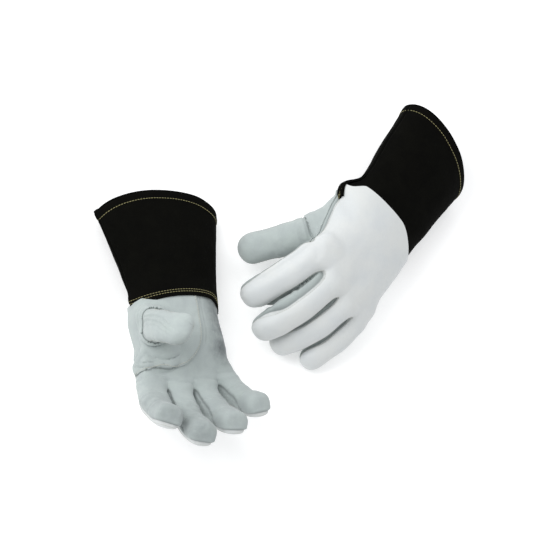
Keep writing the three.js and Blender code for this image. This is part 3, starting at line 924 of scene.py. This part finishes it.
def dress(glove, sheet):
    """Moves the sheet's points out and in: seams, creases, folds and the leather's unevenness."""
    values, points = sheet.values, sheet.points
    back, low = values["back"], values["low"]
    height = groove(back, 1.1, 1.0, 0.35, 2.8)
    apart = smooth(1.5, 4.0, np.abs(back - low))
    height += apart * groove(low, 0.9, 1.0, 0.3, 2.6)
    # How dark the seams are painted: dirt together with painted shade in their grooves.
    seam = np.exp(-((back / 1.3) ** 2)) + apart * np.exp(-((low / 1.3) ** 2))
    on_thumb = values["own_thumb"]
    depth = 0.35 if glove.side == "left" else 0.6
    if glove.side == "right":
        depth = depth * (1 - 0.8 * smooth(-15, -4, values["u_thumb"]))
    height += groove(on_thumb, depth, 1.3, 0.3 * depth, 3.0)
    thumb_seam = smooth(-2, 2, on_thumb) * np.exp(-((values["v_thumb"] / 1.3) ** 2))
    height += smooth(-2, 2, on_thumb) * groove(values["v_thumb"], 0.9, 1.0, 0.3, 2.6)
    seam = seam + depth * np.exp(-((on_thumb / 1.3) ** 2)) + thumb_seam
    palmward = palmward_of(back)

    beside = smooth(0, -8, points[:, 0]) * smooth(56, 44, points[:, 1]) * smooth(1, -3, low)
    height += beside * groove(values["patch"] + 5.5, 0.7, 0.8, 0.3, 2.2)
    seam = seam + 0.4 * beside * np.exp(-(((values["patch"] + 5.5) / 0.9) ** 2))
    s = values["s_index"] + 0.02 * values["u_index"] ** 2
    arc = palmward_of(back) * smooth(26, 14, np.abs(values["u_index"]))
    height += arc * (1.4 * np.exp(-(((s + 5) / 3.5) ** 2)) - 1.6 * np.exp(-(((s + 11) / 1.8) ** 2)))
    height -= arc * 1.0 * np.exp(-(((s - 1) / 1.4) ** 2))

    seed = 3 if glove.side == "left" else 11
    lumps = value_noise(points, 30, seed) * 1.0 + value_noise(points, 13, seed + 1) * 0.55
    fine = value_noise(points, 6, seed + 2) * 0.22 + value_noise(points, 3, seed + 5) * 0.08
    height += (lumps + fine) * (0.45 + 0.75 * palmward)

    for name in FINGERS:
        own = smooth(-4, 4, values[f"own_{name}"])
        s = values[f"s_{name}"] + value_noise(points, 12, seed + 7) * 2.5
        length = glove.digits[name].length
        for share, depth in ((0.06, 1.3), (0.36, 1.0), (0.44, 0.6), (0.68, 0.8)):
            height -= depth * own * palmward * np.exp(-(((s - share * length) / 2.0) ** 2))
            height += 0.5 * depth * own * palmward * np.exp(-(((s - share * length - 6) / 3.0) ** 2))
    s = values["s_thumb"] + value_noise(points, 10, seed + 8) * 2.0
    below = values["own_thumb"] + value_noise(points, 16, seed + 9) * 2.0
    for ring, fold in THUMB_FOLDS[glove.side]:
        height += fold * np.exp(-(((below - ring) / 2.2) ** 2)) * palmward
        height -= 0.7 * fold * np.exp(-(((below - ring + 4) / 1.4) ** 2)) * palmward
    own = smooth(-3, 3, on_thumb)
    for share, fold in ((0.42, 0.5), (0.52, 0.35)):
        height -= fold * own * np.exp(-(((s - share * glove.digits["thumb"].length) / 3.0) ** 2))
    if glove.side == "right":
        along, wander = values["s_thumb"], value_noise(points, 11, seed + 10) * 1.6
        for place, fold in THUMB_CREASES:
            line = values["u_thumb"] - place + 0.012 * (along - 20) ** 2 + wander
            crease = 0.6 * np.exp(-(((line - 2.4) / 1.7) ** 2)) - np.exp(-((line / 1.1) ** 2))
            height += fold * own * smooth(52, 38, along) * crease
    sheet.points = pushed(points + sheet.normals() * height[:, None], glove.side)
    # Stored for the materials: seam darkening, part dirt and part painted shade in the grooves.
    values["seam"] = np.clip(seam, 0, 1)
    # Painted shade on the split leather's outer side and fingers.
    values["painted_shade"] = painted_shade_amount(glove, values, points, palmward)


def painted_shade_amount(glove, values, points, palmward):
    """How much painted shade darkens the split leather: at the hand's outer edge and on the fingers."""
    x, y, _ = points.T
    painted_shade = 1.25 * smooth(-14, -44, x) * smooth(84, 52, y)
    for name, share in (("index", 0.45), ("middle", 0.5), ("ring", 0.25), ("little", 0.15)):
        digit = glove.digits[name]
        here = smooth(-4, 4, values[f"own_{name}"]) * smooth(0.25, 0.6, values[f"s_{name}"] / digit.length)
        painted_shade = np.maximum(painted_shade, share * here)
    return painted_shade * palmward * (1.0 if glove.side == "right" else 0.3)


def pushed(points, side):
    """Moves parts of the hand's sides out or in, most of all on the palm's side."""
    moved = points.copy()
    x, y, z = points.T
    for amount, middle, behind, ahead, toward in PUSHES[side]:
        along = np.exp(-(((y - middle) / np.where(y < middle, behind, ahead)) ** 2))
        push = amount * along * smooth(5, 45, toward * x) * (0.45 + 0.55 * smooth(14, -8, z))
        moved[:, 0] += toward * push
        moved[:, 2] -= 0.25 * push
    return moved


def settled(axes, points, floor=0.2, softness=1.2):
    """Leather that would reach below the table lies flat on it."""
    world = axes.outside(points)
    world[:, 2] = smooth_max(world[:, 2] / MM, np.full(len(world), floor), softness) * MM
    return axes.inside(world)


def add_piece(piece, nodes, body=None, bend=None):
    """Ties a finished piece to its body, or, for a piece that spans a joint, bakes its placement into its points;
    hides the CAD nodes it stands for.
    """
    if bend:
        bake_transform(piece)
    else:
        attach(piece, body)
    if nodes:
        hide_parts(*nodes)


def build_hand(glove):
    side = glove.side
    whole = hand_sheet(glove)
    hand = whole
    for name in (*FINGERS, "thumb"):
        hand = hand.clip(f"own_{name}", -1)
    y0, y1 = WRIST_FOLD
    fold = (glove.hand.joint_point((0, y, 0)) for y in (y0, y1))
    bend = (f"{side}_hand", f"{side}_cuff", *fold)

    def panel(name, sheet, kind, bend, wall=LEATHER):
        # Values carried to the mesh: seam darkening (dirt and painted shade) and painted shade.
        shades = ("seam", "painted_shade")
        piece = thick_panel(f"{side}_{name}_panel", sheet, glove.hand, wall, MATERIALS[kind], shades)
        add_piece(piece, [f"{side}_{name}"], bend=bend)

    def sewn(name, lines, bend, kind="cream", **size):
        piece = stitches(f"{side}_{name}_stitches", lines, glove.hand, MATERIALS[kind], **size)
        if piece:
            add_piece(piece, [], bend=bend)

    back = hand.clip("back", 1).clip("wrist_back", 1)
    palm = hand.clip("back", -1).clip("wrist_palm", 1)
    panel("hand_back", back, "grain", bend)
    panel("hand_palm", palm, "split", bend)
    patch = palm.clip("patch", 1).clip("back", -1, -3.5)
    patch = patch.clip("own_thumb", -1, -3.0).clip("wrist_palm", 1, 1.0)
    patch = patch.raised(PATCH_LIFT + PATCH_LEATHER)
    # The patch's edge darkened, as dirt and painted shade at its seam.
    patch.values["seam"] = 0.45 * np.exp(-((patch.values["patch"] / 1.0) ** 2))
    panel("palm_patch", patch, "split", bend, PATCH_LEATHER)
    sewn("patch", patch.line("patch", 2.0), bend, pitch=2.8, length=2.3, radius=0.42, lift=0.2)
    sewn("hand", back.line("back", 2.4), bend, pitch=2.6, length=1.9, radius=0.26)

    for name in FINGERS:
        digit = glove.digits[name]
        own = whole.clip(f"own_{name}", 1)
        start = digit.pivot + digit.start * FINGER_CUT
        end = start + digit.start * FOLD_LENGTH
        bend = (f"{side}_hand", f"{side}_{name}", glove.hand.joint_point(start), glove.hand.joint_point(end))
        back = own.clip("back", 1)
        panel(f"{name}_back", back, "grain", bend)
        grey = own.clip("back", -1)
        panel(f"{name}_palm", grey.clip("low", -1), "split", bend)
        for toward, gusset in GUSSETS[name].items():
            strip = grey.clip("low", 1).clip(f"u_{name}", toward)
            panel(f"{name}_{gusset}", strip, "split", bend)
        sewn(name, back.line("back", 2.4), bend, pitch=2.6, length=1.9, radius=0.26)

    digit = glove.digits["thumb"]
    start = digit.pivot + digit.start * THUMB_CUT
    end = start + digit.start * THUMB_FOLD
    bend = (f"{side}_hand", f"{side}_thumb", glove.hand.joint_point(start), glove.hand.joint_point(end))
    own = whole.clip("own_thumb", 1)
    panel("thumb_back", own.clip("v_thumb", 1), "split", bend)
    panel("thumb_front", own.clip("v_thumb", -1), "split", bend)
    sewn("thumb", own.clip("v_thumb", 1).line("v_thumb", 2.4), bend, pitch=2.6, length=1.9, radius=0.26)


# ---------------------------------------------------------------- the cuff


class Cuff:
    """The gauntlet as a surface over (y, angle), y running from the wrist at 0 to the mouth."""

    def __init__(self, glove):
        self.glove = glove
        self.size = CUFF[glove.side]
        self.axes = glove.cuff
        self.seed = 21 if glove.side == "left" else 33

    def mouth(self, angle):
        size = self.size
        bulge = size["bulge"] * np.abs(np.sin(angle)) ** 1.6
        return -(size["length"] + bulge + size["skew"] * np.cos(angle) - 1.5)

    def point(self, y, angle, offset=0.0):
        size = self.size
        t = np.clip(-y / (size["length"] + 4), 0, 1.1)
        width = size["wrist"][0] + (size["mouth"][0] - size["wrist"][0]) * t**1.25
        height = size["wrist"][1] + (size["mouth"][1] - size["wrist"][1]) * t**1.1
        c, s = np.cos(angle), np.sin(angle)
        power = 2 / 2.1
        x = np.sign(c) * np.abs(c) ** power * (width + offset) + t * size["shift"]
        z = np.sign(s) * np.abs(s) ** power * (height + offset)
        points = np.stack(np.broadcast_arrays(x, y, z), -1).reshape(-1, 3)
        lumps = value_noise(points, 38, self.seed) * 1.6 + value_noise(points, 16, self.seed + 1) * 0.45
        free = smooth(-4, -30, points[:, 1])
        radial = unit(points * (1, 0, 1) + 1e-9)
        points = pushed(points + radial * (lumps * free)[:, None], self.glove.side)
        return settled(self.axes, points, 0.25, 2.0)

    def frame_at(self, y, angle, offset=0.0):
        """Points, outward normals and directions to the mouth."""
        p = self.point(y, angle, offset)
        along = self.point(y + 0.5, angle, offset) - self.point(y - 0.5, angle, offset)
        round_ = self.point(y, angle + 0.01, offset) - self.point(y, angle - 0.01, offset)
        normal = unit(np.cross(along, round_))
        return p, normal, -unit(along)


def cuff_panel_sheet(cuff, start, end, wrist_edge, lap):
    """One half of the cuff as a grid. `lap` lifts its wrist edge over the hand, or tucks it under."""
    rows, columns = 96, 130
    angles = np.linspace(start, end, columns + 1)
    rows_t = np.linspace(0, 1, rows + 1)
    t, angle = np.meshgrid(rows_t, angles, indexing="ij")
    y = wrist_edge(angle) + (cuff.mouth(angle) - wrist_edge(angle)) * t
    t, angle, y = t.ravel(), angle.ravel(), y.ravel()
    points, normals, _ = cuff.frame_at(y, angle)
    side = np.minimum(np.abs(angle - start), np.abs(angle - end)) * 30
    to_mouth = y - cuff.mouth(angle)
    to_wrist = wrist_edge(angle) - y
    height = groove(side, 0.7, 0.9, 0.75, 2.6)
    reach = 4 if lap > 0 else BACK_REACH[cuff.glove.side] + 4
    side_share = 0.45 if lap > 0 else 0.75
    round_share = side_share + (1 - side_share) * np.abs(np.sin(angle))
    height += lap * smooth(reach + LAP_RISE, reach, to_wrist) * round_share
    turned = smooth(9.5, 7.0, to_mouth)
    height += 0.7 * turned - 0.5 * np.exp(-(((to_mouth - HEM_ROW) / 1.0) ** 2))
    height -= 0.9 * smooth(1.6, 0.0, to_mouth)
    if lap > 0:
        for row in CUFF_ROWS:
            height -= 0.3 * np.exp(-(((to_wrist - row) / 0.7) ** 2))
    height += value_noise(points, 5, cuff.seed + 2) * 0.12
    points = settled(cuff.axes, points + normals * height[:, None])
    at = np.arange((rows + 1) * (columns + 1)).reshape(rows + 1, columns + 1)
    a, b, c, d = at[:-1, :-1].ravel(), at[:-1, 1:].ravel(), at[1:, 1:].ravel(), at[1:, :-1].ravel()
    tris = np.concatenate([np.stack([a, b, c], 1), np.stack([a, c, d], 1)])
    # Side seams darkened, as dirt and painted shade in their grooves.
    seam = np.exp(-((side / 1.2) ** 2)) * 0.8
    sheet = Sheet(points, tris, {"seam": seam})
    if (sheet.normals() * normals).sum() < 0:
        sheet.tris = sheet.tris[:, ::-1]
    return sheet


def hem_piece(cuff, name):
    """The mouth's edge: leather rolled over it and turned in against the lining."""
    columns = 260
    angle = np.linspace(0, 2 * np.pi, columns, endpoint=False)
    outer, inner_face, depth, wall = -0.15, -3.5, 18.0, 1.2
    profile = []
    for k in range(9):
        turn = math.pi * k / 8
        middle, radius = (outer + inner_face) / 2, (outer - inner_face) / 2
        profile.append((-0.2 - radius * math.sin(turn) * 0.95, middle + radius * math.cos(turn)))
    profile += [(d, inner_face) for d in (4.0, 8.0, 12.0, 15.0, depth - 0.6)]
    profile += [(depth, inner_face + wall / 2), (depth - 0.6, inner_face + wall)]
    profile += [(d, inner_face + wall) for d in (12.0, 6.0, 1.2)]
    profile += [(0.5, -1.75), (0.2, -1.6)]
    rings = []
    for into, offset in profile:
        y = cuff.mouth(angle) + into
        p, n, _ = cuff.frame_at(y, angle)
        ripple = value_noise(p, 9, cuff.seed + 4) * 0.25 * smooth(2, 12, np.full(columns, into))
        rings.append(p + n * (offset + 0.6 * (into < 6) * (offset > -1) + ripple)[:, None])
    points = np.concatenate(rings)
    count = len(profile)
    quads = []
    for i in range(count):
        for k in range(columns):
            j = (k + 1) % columns
            h = (i + 1) % count
            quads.append((i * columns + k, i * columns + j, h * columns + j, h * columns + k))
    quads = np.array(quads)
    tris = np.concatenate([quads[:, [0, 1, 2]], quads[:, [0, 2, 3]]])
    world = cuff.axes.outside(settled(cuff.axes, points))
    tris = outward(world - world.mean(0), tris)
    values = {"seam": np.zeros(len(points)), "inside": np.zeros(len(points))}
    return make_mesh(name, world, tris, values=values, material=MATERIALS["black"])


def build_cuff(glove):
    side = glove.side
    cuff = Cuff(glove)
    body = f"{side}_cuff"

    def under_back(angle):
        return 1.0 + 2.0 * np.abs(np.sin(angle))

    def over_palm(angle):
        to_thumb, to_outer = 2 * math.pi - angle, angle - math.pi
        thumb_reach = PALM_REACH[side][0] * smooth(0, 0.5, to_thumb) * smooth(1.5, 0.75, to_thumb)
        outer_reach = PALM_REACH[side][1] * smooth(0.9, 0.1, to_outer)
        return 3.0 - 5.0 * np.abs(np.sin(angle)) ** 2 + thumb_reach + outer_reach

    halves = (
        ("cuff_back", 0.0, math.pi, under_back, -2.4),
        ("cuff_palm", math.pi, 2 * math.pi, over_palm, 2.2),
    )
    for name, start, end, edge, lap in halves:
        sheet = cuff_panel_sheet(cuff, start, end, edge, lap)
        leather = MATERIALS["black"]
        piece = thick_panel(f"{side}_{name}_panel", sheet, glove.cuff, CUFF_LEATHER, leather, ("seam",))
        add_piece(piece, [f"{side}_{name}"], body=body)
    hem = hem_piece(cuff, f"{side}_cuff_hem_panel")
    add_piece(hem, [f"{side}_cuff_hem"], body=body)

    lines = []
    angle = np.linspace(0.03, 2 * math.pi - 0.03, 400)
    points, normals, _ = cuff.frame_at(cuff.mouth(angle) + HEM_ROW, angle)
    lines.append((points + normals * 0.35, normals))
    angle = np.linspace(math.pi + 0.05, 2 * math.pi - 0.05, 220)
    for row in CUFF_ROWS:
        points, normals, _ = cuff.frame_at(over_palm(angle) - row, angle)
        lift = 2.2 * (0.45 + 0.55 * np.abs(np.sin(angle))) - 0.1
        lines.append((points + normals * lift[:, None], normals))
    thread = stitches(f"{side}_cuff_stitches", lines, glove.cuff, MATERIALS["yellow"], 3.2, 2.4, 0.33, 0.1)
    add_piece(thread, [], body=body)


# ---------------------------------------------------------------- stage


def build_stage():
    bpy.ops.mesh.primitive_plane_add(size=8, location=(0, 0, -0.0004))
    floor = bpy.context.object
    floor.name = "floor"
    n = Nodes("pale_floor")
    n.put(n.shader.inputs["Emission Color"], (1, 1, 1, 1))
    n.put(n.shader.inputs["Emission Strength"], 0.4)
    floor.data.materials.append(n.finish((0.75, 0.75, 0.75, 1), 0.85, 0.0, 0.1))

    world = bpy.data.worlds.new("studio")
    world.use_nodes = True
    world.node_tree.nodes["Background"].inputs["Color"].default_value = (0.97, 0.985, 1.0, 1)
    tree = world.node_tree
    strength = tree.nodes.new("ShaderNodeMapRange")
    strength.inputs["To Min"].default_value = 0.74
    seen = tree.nodes.new("ShaderNodeLightPath").outputs["Is Camera Ray"]
    tree.links.new(seen, strength.inputs["Value"])
    tree.links.new(strength.outputs["Result"], tree.nodes["Background"].inputs["Strength"])
    bpy.context.scene.world = world
    for name, place, size, power in (
        ("key", (-1.15, 0.3, 1.3), 1.3, 17),
        ("fill", (0.5, 0.9, 1.5), 1.6, 7),
    ):
        light = bpy.data.lights.new(name, "AREA")
        light.shape = "DISK"
        light.size = size
        light.energy = power
        lamp = bpy.data.objects.new(name, light)
        lamp.location = place
        lamp.rotation_euler = (-Vector(place)).to_track_quat("-Z", "Y").to_euler()
        bpy.context.scene.collection.objects.link(lamp)


def build_camera():
    """Straight-on view from high in front, turned so that the picture's sides run along X."""
    azimuth, elevation = math.radians(-47), math.radians(66)
    back = Vector((
        math.sin(azimuth) * math.cos(elevation),
        -math.cos(azimuth) * math.cos(elevation),
        math.sin(elevation),
    ))
    right = (Vector((1, 0, 0)) - back * back.x).normalized()
    up = back.cross(right)
    aim = Vector((-0.00303, 0.02017, 0))
    data = bpy.data.cameras.new("camera")
    data.type = "ORTHO"
    data.ortho_scale = 0.5775
    camera = bpy.data.objects.new("camera", data)
    camera.matrix_world = Matrix((
        (right.x, up.x, back.x, aim.x + back.x * 1.5),
        (right.y, up.y, back.y, aim.y + back.y * 1.5),
        (right.z, up.z, back.z, aim.z + back.z * 1.5),
        (0, 0, 0, 1),
    ))
    bpy.context.scene.collection.objects.link(camera)
    bpy.context.scene.camera = camera


for glove_side in ("left", "right"):
    glove = Glove(glove_side)
    build_hand(glove)
    build_cuff(glove)
build_stage()
build_camera()
bpy.context.scene.view_settings.view_transform = "Standard"
